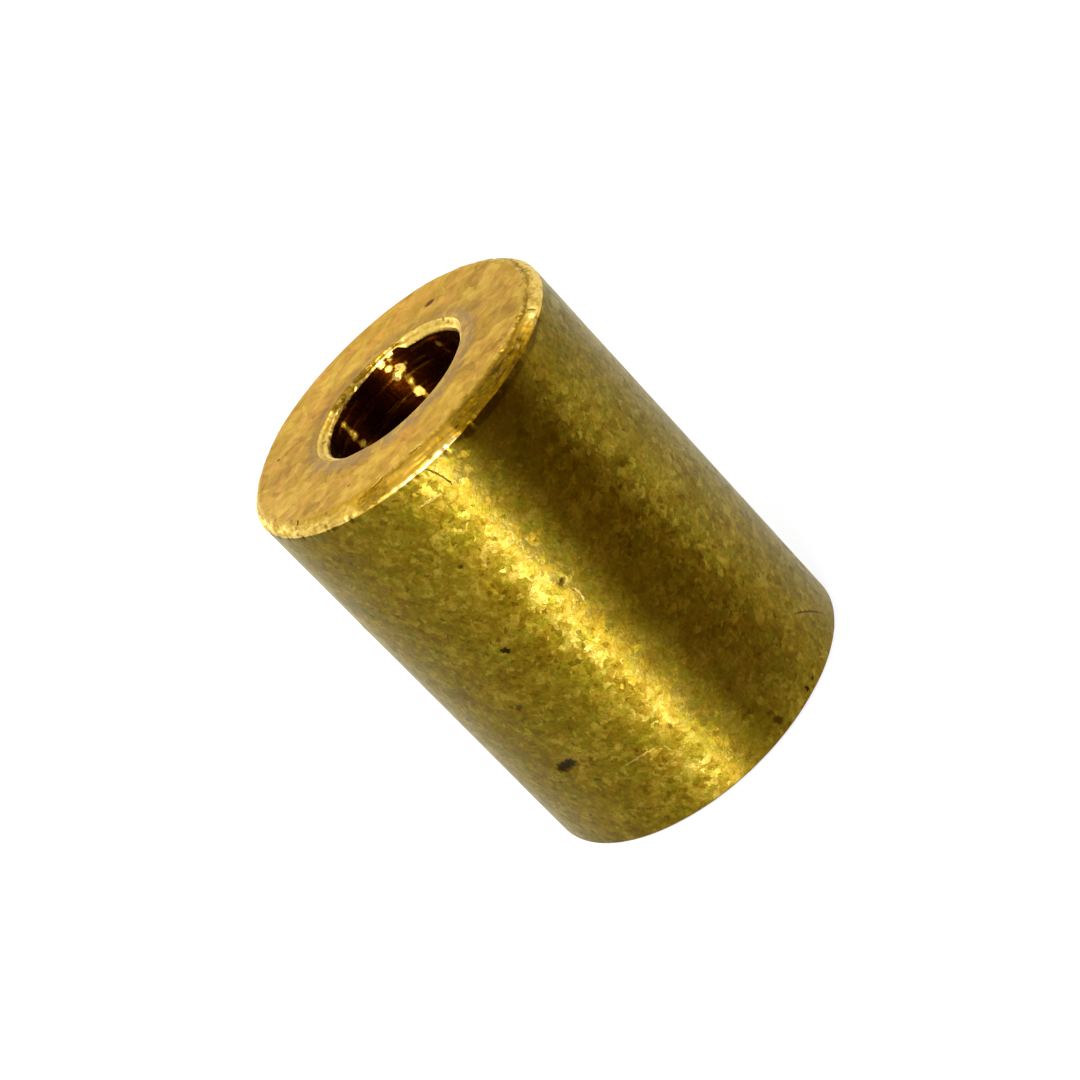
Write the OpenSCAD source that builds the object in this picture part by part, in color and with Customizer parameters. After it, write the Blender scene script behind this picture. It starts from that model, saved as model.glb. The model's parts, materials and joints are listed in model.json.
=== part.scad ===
// Round spacer: a plain turned sleeve that a screw passes through, to hold two parts apart.
// It stands on its cut-off end, with its axis on +Z and z = 0 at that end face.
// The other end, at the top, is the faced end, with the wider chamfer. Millimetres.

/* [Barrel] */
// Outside diameter of the barrel
barrel_d = 4.76; // [4.4:0.01:9.5]
// Length over the two end faces
barrel_l = 6.35; // [2:0.01:25.4]
// Diameter of the through bore
bore_d = 2.26; // [1:0.01:2.7]

/* [Faced end] */
// Width of the rim chamfer, across the end face
rim_w = 0.26; // [0.12:0.01:0.36]
// Depth of the rim chamfer, down the barrel
rim_h = 0.13; // [0.06:0.01:0.3]
// Radius that blends the rim chamfer into the face and the barrel
rim_blend = 0.05; // [0.01:0.01:0.08]
// Width of the deburring chamfer at the bore's mouth
mouth_w = 0.11; // [0.05:0.01:0.2]
// Depth of the deburring chamfer at the bore's mouth
mouth_h = 0.09; // [0.05:0.01:0.3]
// Width of the shallow burnished ring round the mouth
ring_w = 0.14; // [0.05:0.01:0.25]
// Depth of the burnished ring where it meets the mouth
ring_h = 0.015; // [0.005:0.005:0.04]

/* [Cut-off end] */
// Width of the broken rim, across the end face
cut_rim_w = 0.09; // [0.06:0.01:0.36]
// Depth of the broken rim, up the barrel
cut_rim_h = 0.06; // [0.04:0.01:0.3]
// Radius that blends the broken rim into the face and the barrel
cut_blend = 0.03; // [0.01:0.01:0.04]
// Width of the chamfer at the bore's mouth
cut_mouth_w = 0.07; // [0.05:0.01:0.3]
// Depth of the chamfer at the bore's mouth
cut_mouth_h = 0.07; // [0.05:0.01:0.3]

/* [Hidden] */

// Segments round the axis
ROUND_SEGMENTS = 96;
// Straight steps in each blend arc
BLEND_STEPS = 4;

barrel_r = barrel_d / 2;
bore_r = bore_d / 2;

// One corner of the turned profile: its radius from the axis, its height, and its blend radius
function corner(r, z, blend = 0) = [[r, z], blend];

// The faced end's corners, from the bore's mouth out to the barrel
faced_end = [
    corner(bore_r, barrel_l - ring_h - mouth_h),
    corner(bore_r + mouth_w, barrel_l - ring_h),
    corner(bore_r + mouth_w + ring_w, barrel_l),
    corner(barrel_r - rim_w, barrel_l, rim_blend),
    corner(barrel_r, barrel_l - rim_h, rim_blend),
];

// The cut-off end's corners, from the barrel back to the bore's mouth
cut_end = [
    corner(barrel_r, cut_rim_h, cut_blend),
    corner(barrel_r - cut_rim_w, 0, cut_blend),
    corner(bore_r + cut_mouth_w, 0),
    corner(bore_r, cut_mouth_h),
];

function unit(v) = v / norm(v);

// The points that stand for a corner p between its neighbours a and b: p itself where it is sharp,
// or an arc of the given radius that is tangent to both sides
function blended(a, p, b, radius) =
    radius == 0 ? [p] :
    let (
        to_a = unit(a - p),
        to_b = unit(b - p),
        half_angle = acos(to_a * to_b) / 2,
        centre = p + unit(to_a + to_b) * radius / sin(half_angle),
        first = unit(p + to_a * radius / tan(half_angle) - centre),
        last = unit(p + to_b * radius / tan(half_angle) - centre),
        sweep = 180 - 2 * half_angle
    )
    [for (i = [0 : BLEND_STEPS])
        let (turn = sweep * i / BLEND_STEPS)
        centre + radius * (sin(sweep - turn) * first + sin(turn) * last) / sin(sweep)];

// The closed outline of a list of corners, with each blend drawn in
function outline(corners) =
    let (n = len(corners))
    [for (i = [0 : n - 1])
        each blended(
            corners[(i + n - 1) % n][0], corners[i][0], corners[(i + 1) % n][0], corners[i][1])];

module spacer() {
    color("#b3983c")
        rotate_extrude($fn = ROUND_SEGMENTS)
            polygon(outline(concat(faced_end, cut_end)));
}

spacer();
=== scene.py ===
"""Round spacer: a turned brass sleeve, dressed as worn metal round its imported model."""

import json
import math
import random

import bpy
from mathutils import Matrix, Vector, noise


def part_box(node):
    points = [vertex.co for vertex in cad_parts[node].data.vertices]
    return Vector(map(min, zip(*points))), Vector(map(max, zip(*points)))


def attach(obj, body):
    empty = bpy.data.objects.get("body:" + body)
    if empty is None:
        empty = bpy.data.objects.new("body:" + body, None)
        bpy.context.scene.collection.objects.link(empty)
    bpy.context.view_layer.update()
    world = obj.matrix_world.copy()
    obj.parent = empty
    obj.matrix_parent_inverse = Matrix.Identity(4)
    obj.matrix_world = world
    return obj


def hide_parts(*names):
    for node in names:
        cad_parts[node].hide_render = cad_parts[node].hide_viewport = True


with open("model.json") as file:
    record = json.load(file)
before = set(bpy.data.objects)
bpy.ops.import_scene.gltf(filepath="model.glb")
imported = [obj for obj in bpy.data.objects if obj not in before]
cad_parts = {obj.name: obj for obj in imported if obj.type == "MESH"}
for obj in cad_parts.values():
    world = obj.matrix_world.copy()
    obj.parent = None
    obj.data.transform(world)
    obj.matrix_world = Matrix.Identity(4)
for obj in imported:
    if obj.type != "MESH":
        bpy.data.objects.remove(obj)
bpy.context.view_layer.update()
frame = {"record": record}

bl_info = {
    "name": "Round spacer",
    "version": (1, 0, 0),
    "blender": (4, 5, 0),
    "location": "3D View > Sidebar > Spacer",
    "description": "Turns a round spacer, dresses it as worn brass and stands it on a pale floor",
    "category": "Object",
}

# ---- Sizes ----

# The mesh is worked out in millimetres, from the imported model, and scaled to metres
MM = 0.001
NODE = "spacer"
low, high = (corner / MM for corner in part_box(NODE))
BARREL_R = max(high.x - low.x, high.y - low.y) / 2
LENGTH = high.z - low.z
bore_mount = next(mount for mount in frame["record"]["mounts"] if mount["kind"] == "bore")
BORE_R = bore_mount["dims"]["r_mm"]

# Zones of the turned surface, in the order of the piece's materials
BORE, MOUTH, RING, FACE, RIM, BARREL, CUT_FACE = range(7)


# ---- Properties ----

def length_prop(name, description, default_mm):
    """A length in the sidebar, given here in millimetres."""
    return bpy.props.FloatProperty(
        name=name, description=description, default=default_mm * MM,
        min=0, precision=5, subtype="DISTANCE", unit="LENGTH",
    )


def colour_prop(name, description, red, green, blue):
    """A colour in the sidebar, in linear light."""
    return bpy.props.FloatVectorProperty(
        name=name, description=description, default=(red, green, blue), min=0, max=1, subtype="COLOR"
    )


class SpacerShape(bpy.types.PropertyGroup):
    """Sizes of the turned edges, and how finely they are meshed"""

    rim_width: length_prop("Rim width", "Rim chamfer, across the faced end", 0.26)
    rim_depth: length_prop("Rim depth", "Rim chamfer, down the barrel", 0.13)
    rim_blend: length_prop("Rim blend", "Radius where the rim chamfer meets the barrel", 0.05)
    face_blend: length_prop("Face blend", "Radius where the rim chamfer meets the faced end", 0.14)
    mouth_width: length_prop("Mouth width", "Deburring chamfer, across the faced end", 0.11)
    mouth_depth: length_prop("Mouth depth", "Deburring chamfer, down the bore", 0.09)
    ring_width: length_prop("Ring width", "Burnished ring round the mouth", 0.14)
    ring_depth: length_prop("Ring depth", "Burnished ring, where it meets the mouth", 0.015)
    cut_rim_width: length_prop("Cut rim width", "Broken rim, across the cut-off end", 0.09)
    cut_rim_depth: length_prop("Cut rim depth", "Broken rim, up the barrel", 0.06)
    cut_blend: length_prop("Cut blend", "Radius at both edges of the broken rim", 0.03)
    cut_mouth: length_prop("Cut mouth", "Chamfer of the bore at the cut-off end", 0.07)
    columns: bpy.props.IntProperty(
        name="Columns", description="Columns of faces round the barrel, an even number", default=480, min=24
    )


class SpacerFinish(bpy.types.PropertyGroup):
    """Colours of the worn brass"""

    barrel: colour_prop("Barrel", "Tarnished brass of the barrel", 0.184, 0.115, 0.0045)
    # Also the painted shade under the rim and the painted dark reflection on the rim and the mouth
    barrel_stain_and_shade: colour_prop("Barrel stains and shade", "Brown tarnish on the barrel, and painted shade", 0.108, 0.060, 0.001)
    barrel_light: colour_prop("Barrel rubs", "Rubbed brass on the barrel", 0.315, 0.222, 0.022)
    barrel_green: colour_prop("Barrel green", "Greenish tarnish on the barrel", 0.160, 0.122, 0.004)
    face: colour_prop("Face", "Dull orange-tan brass of the faced end", 0.445, 0.255, 0.022)
    face_dark: colour_prop("Face stains", "Brown tarnish on the faced end", 0.300, 0.158, 0.018)
    face_warm: colour_prop("Face warmth", "Copper-coloured patches on the faced end", 0.510, 0.262, 0.036)
    face_light: colour_prop("Face rubs", "Yellow brass on the faced end", 0.600, 0.388, 0.042)
    ring: colour_prop("Ring", "Greyish tarnish round the mouth of the bore", 0.290, 0.158, 0.038)
    rim: colour_prop("Rim", "Golden brass of the turned edges", 0.445, 0.255, 0.016)
    # Also the painted dark reflection on the rim and the mouth, and painted shade in their hollows
    rim_stain_and_shade: colour_prop("Rim stains and shade", "Golden-brown tarnish of the turned edges", 0.215, 0.115, 0.002)
    # Also the painted highlights: the bright line at the rim's front corner and the glints on the lips of the
    # mouth
    edge: colour_prop("Edges", "Bare brass where the edges are rubbed, and painted highlights", 0.780, 0.550, 0.120)
    # Also painted shade in the barrel's hollows
    grime_and_shade: colour_prop("Grime and shade", "Dirt in pits and scratches, and painted shade in hollows", 0.050, 0.022, 0.001)
    bore: colour_prop("Bore", "Dark tarnish of the drilled bore", 0.120, 0.020, 0.000)
    # Painted highlight: the bright brass that paints the lamps' reflections down the bore
    bore_highlight: colour_prop("Bore highlights", "Bright brass that paints highlights down the bore", 1.000, 0.720, 0.135)
    soot: colour_prop("Soot", "Black dirt in the pits", 0.020, 0.010, 0.001)


# ---- The turned surface ----

# A turn is in degrees, round from the front towards -X. Sizes are in millimetres.

# Marks on the barrel: (turn, height, length, width, slant, depth)
PITS = [
    (46.0, 1.57, 0.46, 0.17, -15, 0.030),
    (31.0, 3.54, 0.18, 0.12, 20, 0.018),
    (42.7, 2.68, 0.16, 0.09, -30, 0.015),
    (2.7, 3.85, 0.19, 0.08, -25, 0.014),
    (22.0, 4.87, 0.10, 0.06, 10, 0.012),
    (40.3, 1.20, 0.12, 0.05, 30, 0.012),
    (-31.0, 0.17, 0.08, 0.10, 0, 0.020),
    (-35.3, 0.16, 0.07, 0.09, 0, 0.020),
    (-16.5, 0.25, 0.20, 0.12, 40, 0.014),
]
MORE_PITS = 16

# Pits at least this deep are black at the bottom
DEEP_PIT = 0.017

# Marks on the faced end: (turn, radius, length, width, slant, depth)
FACE_PITS = [
    (-137.5, 1.69, 0.20, 0.15, 20, 0.014),
    (-83.0, 2.24, 0.06, 0.05, 0, 0.010),
    (62.0, 2.25, 0.08, 0.06, 30, 0.012),
    (-57.0, 2.31, 0.05, 0.11, 20, 0.009),
    (-43.0, 2.28, 0.05, 0.12, -30, 0.009),
    (40.0, 1.85, 0.07, 0.05, 0, 0.008),
    (120.0, 1.95, 0.09, 0.05, 40, 0.008),
]

# Other marks: (turn, height or radius, length, slant, half width, bow)
SCRATCHES = [
    (6.9, 6.01, 0.46, 74, 0.013, 0.030),
    (-54.7, 0.60, 0.95, 45, 0.016, 0.050),
    (-70.0, 4.2, 0.7, 60, 0.010, 0.02),
    (120.0, 3.0, 1.2, 35, 0.012, 0.05),
    (165.0, 4.6, 0.8, 20, 0.010, 0.03),
]
RAISED_LINES = [
    (23.2, 1.21, 0.65, 2, 0.020, 0.020),
    (14.4, 5.83, 0.40, 6, 0.024, 0.010),
    (1.0, 3.55, 0.30, 94, 0.020, 0.030),
    (-130.0, 2.4, 0.9, 110, 0.016, 0.040),
]
FACE_CREASES = [(24.0, 2.16, 0.36, 17, 0.016, 0.010), (8.0, 2.10, 0.30, 4, 0.012, 0.000)]

# How the worn edges change round the piece, and where light and shade are painted on them: {turn: value}
RIM_REACH = {
    -150: 0.35, -120: 0.42, -90: 0.50, -60: 0.62, -40: 0.85, -24: 1.05, -10: 1.2, 5: 1.15, 15: 1.1,
    28: 0.85, 45: 0.6, 90: 0.5, 120: 0.5, 150: 0.35,
}
RIM_GROOVE = {-150: 0.0, -125: 0.7, -60: 0.9, -25: 0.9, 5: 0.5, 20: 0.6, 30: 0.1, 45: 0.0, 150: 0.0}
RIM_STEPS = {-60: 0.0, -35: 0.8, -10: 1.0, 8: 0.6, 24: 0.2, 40: 0.0, 150: 0.0}
CORNER_CHIPS = {-150: 0.0, -120: 0.3, -60: 0.8, -20: 1.0, 30: 1.2, 70: 1.0, 100: 0.3, 150: 0.0}
CORNER_WORN = {-62: 0.0, -38: 0.8, -8: 1.0, 0: 0.0, 150: 0.0}
# CREST_AT and CREST_WIDTH place the bright crest across the rim; at the front, from turn -1 to 19, it is a
# thin painted highlight line at the corner
CREST_AT = {-150: 0.8, -120: 0.66, -50: 0.62, -10: 0.8, 4: 0.96, 20: 0.96, 45: 0.75, 150: 0.7}
CREST_WIDTH = {-150: 0.1, -110: 0.30, -50: 0.32, -5: 0.1, 12: 0.09, 20: 0.08, 45: 0.4, 150: 0.4}
# Rubs above 0 and stains below 0 on the rim; at the front the bright crest from turn -1 to 19 is painted
# highlight, and the dark stretch from turn -45 to -9 is painted dark reflection
RIM_WEAR_AND_LIGHT = {
    -150: 0.3, -115: 1.6, -80: 1.7, -58: 1.2, -45: -0.2, -33: -0.9, -9: -0.8, -1: 0.8, 6: 1.7,
    15: 1.7, 19: 0.8, 22: -0.3, 32: -0.45, 38: 0.9, 46: 1.2, 75: 1.2, 95: 1.0, 125: 0.6, 170: 0.0,
}
LIP_OPEN = {
    -172: 0.8, -158: 0.5, -152: 1.2, -105: 1.15, -75: 0.5, -50: 0.22, 0: 0.12, 40: 0.2, 70: 0.8,
    100: 1.25, 140: 1.1, 165: 1.0,
}
# Rubs above 0 and stains below 0 on the lips of the mouth; the dark stretch on the far side, from turn 146
# round to -157, is painted dark reflection
LIP_WEAR_AND_DARK_REFLECTION = {
    -172: -0.6, -165: -0.2, -157: -0.5, -153: 0.9, -100: 0.9, -70: 0.4, 0: 0.1, 50: 0.2, 75: 0.9,
    122: 1.0, 130: 0.1, 139: 0.4, 146: -0.7, 178: -0.8,
}
BURR_AT = 152
RING_STAIN = {-130: 0.5, -95: 1.0, -60: 1.0, 0: 0.9, 40: 1.1, 80: 1.1, 110: 0.7, 150: 0.6}
# Painted shade: a darker band on the barrel just under the rim, from turn -60 to 0
BARREL_SHADE = {-60: 0.0, -42: 0.5, -25: 1.0, -10: 0.6, 0: 0.0, 120: 0.0}

# Painted highlights: bright streaks down the bore, where the lamps' reflections run: (turn, half width in
# degrees, strength)
BORE_HIGHLIGHT_STREAKS = [(-166, 2.2, 0.35), (138, 2.0, 0.40)]

# Painted highlights: bright spots on the wall of the bore, where the lamps' reflections break up: (turn,
# depth, half size, strength)
GLINTS = [
    (-164.9, 0.05, 0.050, 2.0), (-174.1, 0.10, 0.045, 2.0), (-171.8, 0.22, 0.040, 0.7),
    (-165.3, 0.31, 0.055, 2.0), (-170.5, 0.37, 0.055, 2.0), (-166.6, 0.53, 0.045, 0.35),
    (-167.5, 0.74, 0.060, 2.0), (-160.8, 0.30, 0.030, 0.3), (140.9, 0.06, 0.050, 1.0),
    (137.8, 0.25, 0.040, 0.4), (138.4, 0.45, 0.060, 0.9), (139.4, 0.63, 0.045, 1.0),
    (-130.0, 0.30, 0.045, 0.5), (-129.5, 0.43, 0.040, 0.25),
]

# How deep the bore is meshed finely, and where the drill left rings below its mouth
SEEN_BORE = 1.3
RINGS_FROM = 0.12
RINGS_TO = 1.4
RING_SPACING = 0.16
RING_REACH = 0.09

# A pit's raised lip, as a share of its size
PIT_LIP = 0.6

# How far from a pit, and down from the rim's corner, their relief is worked out
PIT_REACH = 0.4
CORNER_REACH = 0.4

# How far down the bore a closed lip moves its wall
LIP_REACH = 0.6

# The relief kept on the mesh is in hundredths of a millimetre
RELIEF_UNIT = 0.01

# Another number gives other small pits and other drill rings
SEED = 7

# Rows of faces along each stretch of the outline
ROWS = {
    "deep bore": 8, "seen bore": 70, "mouth": 12, "ring": 5, "face": 22, "rim": 14, "barrel": 80,
    "cut face": 10, "cut mouth": 4, "blend": 4, "cut blend": 3,
}


def around(turn, stops):
    """Reads a value that changes smoothly round the piece from its {turn: value} stops."""
    turn = math.degrees(turn)
    stops = sorted(stops.items())
    stops = [(stops[-1][0] - 360, stops[-1][1])] + stops + [(stops[0][0] + 360, stops[0][1])]
    for (left, before), (right, after) in zip(stops, stops[1:]):
        if left <= turn <= right:
            t = (turn - left) / (right - left)
            return before + (after - before) * t * t * (3 - 2 * t)
    raise ValueError(turn)


def wave(turn, across, round_scale, across_scale, seed):
    """Noise from -1 to 1 over a turned surface, joined up all the way round."""
    x = math.cos(turn) * round_scale + seed
    y = math.sin(turn) * round_scale
    return noise.noise(Vector((x, y, across * across_scale + seed)))


def apart(turn, degrees):
    """How far a turn in radians is from one in degrees, in radians either way."""
    return math.remainder(turn - math.radians(degrees), math.tau)


def hump(x, centre, width):
    """A smooth hump of height 1."""
    return math.exp(-(((x - centre) / width) ** 2))


def rise(x, start, end):
    """A smooth step from 0 to 1."""
    t = min(max((x - start) / (end - start), 0), 1)
    return t * t * (3 - 2 * t)


def readied(pits):
    """Pits with their angles in radians and their half sizes."""
    return [
        (math.radians(turn), across, length / 2, width / 2, math.radians(slant), depth)
        for turn, across, length, width, slant, depth in pits
    ]


def scattered_pits(rng, count):
    """Small pits round the sides and the back of the barrel."""
    pits = []
    for _ in range(count):
        turn = rng.uniform(75, 285)
        height = rng.uniform(0.4, LENGTH - 0.5)
        length = rng.uniform(0.07, 0.2)
        width = length * rng.uniform(0.4, 0.8)
        pits.append((turn, height, length, width, rng.uniform(-60, 60), length * 0.1))
    return pits


def pit_relief(pits, turn, across, radius):
    """Pits with ragged outlines and slightly raised lips."""
    relief = 0.0
    for pit_turn, pit_across, half_length, half_width, slant, depth in pits:
        up = across - pit_across
        aside = math.remainder(turn - pit_turn, math.tau) * radius
        if max(abs(up), abs(aside)) > PIT_REACH:
            continue
        x = aside * math.cos(slant) + up * math.sin(slant)
        y = up * math.cos(slant) - aside * math.sin(slant)
        ragged = 1 + 0.35 * wave(turn, across, 30, 12, 3.1)
        off = math.hypot(x / half_length, y / half_width) * ragged
        if off < 1:
            relief -= depth * (1 - off * off) ** 1.5
        elif off < 1 + PIT_LIP:
            relief += depth * 0.25 * math.sin((off - 1) / PIT_LIP * math.pi)
    return relief


def barrel_relief(pits, turn, height, rim_corner):
    """Slow waves left by the tool, the worn corner under the rim, and the pits."""
    waves = 0.0025 * wave(turn, height, 3.5, 1.1, 11.3) + 0.0012 * wave(turn, height, 14, 6, 1.7)
    corner = corner_relief(turn, rim_corner - height) if rim_corner - height < CORNER_REACH else 0
    return waves + corner + pit_relief(pits, turn, height, BARREL_R)


def rim_relief(turn, share):
    """A ragged groove, a rolled-over crest and worn steps, from the face (0) to the barrel (1)."""
    middle = 0.17 + 0.07 * wave(turn, 0, 9, 1, 8.1)
    patch = max(0.8 + 0.8 * wave(turn, 0, 12, 1, 5.7), 0)
    groove = patch * around(turn, RIM_GROOVE) * hump(share, middle, 0.11)
    crest = hump(share, around(turn, CREST_AT), 0.22) * (0.8 + 0.6 * wave(turn, 0, 10, 1, 2.9))
    steps = around(turn, RIM_STEPS) * wave(turn, share, 10, 8.0, 6.1) * rise(share, 0.2, 0.45)
    lumps = wave(turn, share, 18, 2.5, 2.4) + 0.8 * wave(turn, share, 50, 5, 7.9)
    return -0.026 * groove + 0.010 * crest + 0.024 * steps + 0.007 * lumps * hump(share, 0.6, 0.35)


def corner_relief(turn, off):
    """The rim's corner is worn away along part of the near side; off is the distance from the corner."""
    worn = 0.028 * around(turn, CORNER_WORN) * hump(off, 0, 0.11) * (1 + 0.6 * wave(turn, off, 14, 6, 9.9))
    ragged = max(wave(turn, 0, 40, 1, 12.7) + 0.8 * wave(turn, 0, 100, 1, 3.9), 0)
    return -worn - 0.034 * around(turn, CORNER_CHIPS) * hump(off, 0, 0.05) * ragged


def mouth_relief(turn, share):
    """A broad lip with a thin one beside it, and a rough burr, from the bore (0) to the face (1)."""
    burr = 0.04 + 0.96 * hump(apart(turn, BURR_AT), 0, 0.55)
    lips = hump(share, 0.24, 0.18) + 0.4 * hump(share, 0.86, 0.13)
    clumps = wave(turn, share, 18, 1.6, 4.2) + 0.5 * wave(turn, share, 40, 4, 3.2)
    rough = burr * clumps * math.sin(math.pi * min(share * 0.8 + 0.2, 1))
    return around(turn, LIP_OPEN) * (0.020 * lips + 0.045 * rough)


def face_relief(pits, turn, radius, edge_r):
    """Nearly flat, with a few pits, and a thin line of metal turned up at the outer edge."""
    line = hump(radius, edge_r - 0.015, 0.018) * (0.6 + 0.8 * wave(turn, 0, 9, 1, 3.3))
    waves = 0.002 * wave(turn, radius, 3, 2, 6.6) + 0.0015 * wave(turn, radius, 12, 6, 4.4)
    return waves + 0.007 * around(turn, RIM_GROOVE) * max(line, 0) + pit_relief(pits, turn, radius, radius)


def bore_rings(rng):
    """(depth below the mouth, height of the ridge, phase) of each ridge that the drill left."""
    rings = []
    at = RINGS_FROM
    while at < RINGS_TO:
        rings.append((at, rng.uniform(0.004, 0.014), rng.uniform(0, math.tau)))
        at += rng.uniform(0.5, 1.5) * RING_SPACING
    return rings


def bore_relief(rings, turn, depth):
    """The drill's ridges, which wander and break off."""
    relief = 0.002 * wave(turn, depth, 4, 3, 9.5)
    for at, tall, phase in rings:
        wander = at + 0.04 * math.sin(turn + phase) + 0.015 * wave(turn, at, 6, 5, 2.2)
        if abs(depth - wander) < RING_REACH:
            patch = max(0, 0.5 + 1.4 * wave(turn, at, 4, 7, 1.9))
            relief -= tall * patch * hump(depth, wander, 0.022)
    return relief


def cut_face_relief(turn, radius):
    """Rings left by the parting tool."""
    return 0.003 * math.sin(radius / 0.05) + 0.002 * wave(turn, radius, 4, 6, 12.2)


# ---- The mesh ----

# The faced end leans a little, which fades out down the barrel
FACE_TILT_X = 0.0111
FACE_TILT_Y = -0.0109
TILT_REACH = 0.8


def fillet(before, corner, after, radius, steps):
    """Points of an arc that blends a corner, as (radius, height) vectors."""
    to_before = (before - corner).normalized()
    to_after = (after - corner).normalized()
    half = to_before.angle(to_after) / 2
    centre = corner + (to_before + to_after).normalized() * radius / math.sin(half)
    first = (corner + to_before * radius / math.tan(half) - centre).normalized()
    last = (corner + to_after * radius / math.tan(half) - centre).normalized()
    return [centre + first.slerp(last, i / steps) * radius for i in range(steps + 1)]


def stretch(start, end, steps, crowd=1.0):
    """Evenly spaced points from start up to end; a crowd above 1 packs them near the end."""
    return [start.lerp(end, 1 - (1 - i / steps) ** crowd) for i in range(steps)]


def turned_profile(shape):
    """(zone, points) for each stretch of the outline: up the bore, over the faced end, down the barrel."""
    def mm(name):
        return getattr(shape, name) / MM

    mouth_r = BORE_R + mm("mouth_width")
    ring_r = mouth_r + mm("ring_width")
    ring_z = LENGTH - mm("ring_depth")
    bore_top = Vector((BORE_R, ring_z - mm("mouth_depth")))
    mouth_top = Vector((mouth_r, ring_z))
    ring_edge = Vector((ring_r, LENGTH))
    rim_in = Vector((BARREL_R - mm("rim_width"), LENGTH))
    rim_out = Vector((BARREL_R, LENGTH - mm("rim_depth")))
    cut_out = Vector((BARREL_R, mm("cut_rim_depth")))
    cut_in = Vector((BARREL_R - mm("cut_rim_width"), 0))
    cut_mouth = Vector((BORE_R + mm("cut_mouth"), 0))
    bore_foot = Vector((BORE_R, mm("cut_mouth")))
    seen_bore = Vector((BORE_R, bore_top.y - SEEN_BORE))

    rim_start = fillet(ring_edge, rim_in, rim_out, mm("face_blend"), ROWS["blend"])
    rim_end = fillet(rim_in, rim_out, cut_out, mm("rim_blend"), ROWS["blend"])
    cut_start = fillet(rim_out, cut_out, cut_in, mm("cut_blend"), ROWS["cut blend"])
    cut_end = fillet(cut_out, cut_in, cut_mouth, mm("cut_blend"), ROWS["cut blend"])
    return [
        (BORE, stretch(bore_foot, seen_bore, ROWS["deep bore"])),
        (BORE, stretch(seen_bore, bore_top, ROWS["seen bore"])),
        (MOUTH, stretch(bore_top, mouth_top, ROWS["mouth"])),
        (RING, stretch(mouth_top, ring_edge, ROWS["ring"])),
        (FACE, stretch(ring_edge, rim_start[0], ROWS["face"], crowd=1.4)),
        (RIM, rim_start + stretch(rim_start[-1], rim_end[0], ROWS["rim"])[1:] + rim_end[:-1]),
        (BARREL, stretch(rim_end[-1], cut_start[0], ROWS["barrel"], crowd=0.8)),
        (BARREL, cut_start + cut_end[:-1]),
        (CUT_FACE, stretch(cut_end[-1], cut_mouth, ROWS["cut face"])),
        (MOUTH, stretch(cut_mouth, bore_foot, ROWS["cut mouth"])),
    ]


def turned_rows(shape):
    """One entry for each ring of vertices: its zone, place, outward normal, and how far along it is."""
    rows = []
    for zone, points in turned_profile(shape):
        rows += [{"zone": zone, "at": point, "share": i / len(points)} for i, point in enumerate(points)]
    along = 0.0
    for i, row in enumerate(rows):
        before, after = rows[i - 1]["at"], rows[(i + 1) % len(rows)]["at"]
        edge = (after - before).normalized()
        row["normal"] = Vector((-edge.y, edge.x))
        row["along"] = along
        row["top"] = row["at"].y > LENGTH / 2
        along += (after - row["at"]).length
    return rows


def worn_place(shape, at, turn):
    """The rim's inner edge wanders, and where the mouth is burred over its chamfer closes to a sharp lip."""
    rim = shape.rim_width / MM
    ring_r = BORE_R + (shape.mouth_width + shape.ring_width) / MM
    if at.y < LENGTH / 2:
        return at
    if at.x > ring_r:
        edge = BARREL_R - rim
        ragged = 0.22 * wave(turn, 0, 26, 1, 3.7) + 0.14 * wave(turn, 0, 70, 1, 8.3)
        ragged *= 0.2 + 0.9 * around(turn, RIM_GROOVE)
        moved = BARREL_R - rim * around(turn, RIM_REACH) * (1 + ragged)
        if at.x > edge:
            return Vector((BARREL_R - (BARREL_R - at.x) * (BARREL_R - moved) / rim, at.y))
        return Vector((ring_r + (at.x - ring_r) * (moved - ring_r) / (edge - ring_r), at.y))
    shut = 1 - around(turn, LIP_OPEN)
    mouth_width = shape.mouth_width / MM
    ring_width = shape.ring_width / MM
    mouth_depth = (shape.mouth_depth + shape.ring_depth) / MM
    radius, depth = at.x - BORE_R, LENGTH - at.y
    if radius > mouth_width:
        left = (mouth_width + ring_width - radius) / ring_width
        return Vector((at.x - mouth_width * shut * left, LENGTH - depth * (1 - shut)))
    if depth <= mouth_depth:
        return Vector((at.x - radius * shut, LENGTH - depth * (1 - shut)))
    fade = max(1 - (depth - mouth_depth) / LIP_REACH, 0)
    return Vector((at.x, at.y + mouth_depth * shut * fade))


def relief_at(shape, row, place, turn, marks):
    """How far the surface stands proud of the true profile, in millimetres."""
    zone, share = row["zone"], row["share"]
    if zone == BARREL:
        return barrel_relief(marks["barrel"], turn, place.y, LENGTH - shape.rim_depth / MM)
    if zone == RIM:
        corner = corner_relief(turn, (1 - share) * shape.rim_width / MM)
        return rim_relief(turn, share) + corner + pit_relief(marks["face"], turn, place.x, place.x)
    if zone == MOUTH:
        return mouth_relief(turn, share) * (1 if row["top"] else 0.3)
    if zone in (RING, FACE):
        edge = BARREL_R - shape.rim_width / MM * around(turn, RIM_REACH)
        return face_relief(marks["face"], turn, place.x, edge)
    if zone == BORE:
        return bore_relief(marks["rings"], turn, LENGTH - place.y)
    return cut_face_relief(turn, place.x)


def painted_glints(turn, depth):
    """Painted highlights: bright spots on the wall of the bore."""
    wear = 0.0
    for glint_turn, glint_depth, size, strength in GLINTS:
        off = apart(turn, glint_turn) * BORE_R
        reach = math.hypot(off, depth - glint_depth) / size * (1 + 0.5 * wave(turn, depth, 16, 12, 1.3))
        wear += strength * min(max(2 - 1.6 * reach, 0), 1)
    return wear


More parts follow.
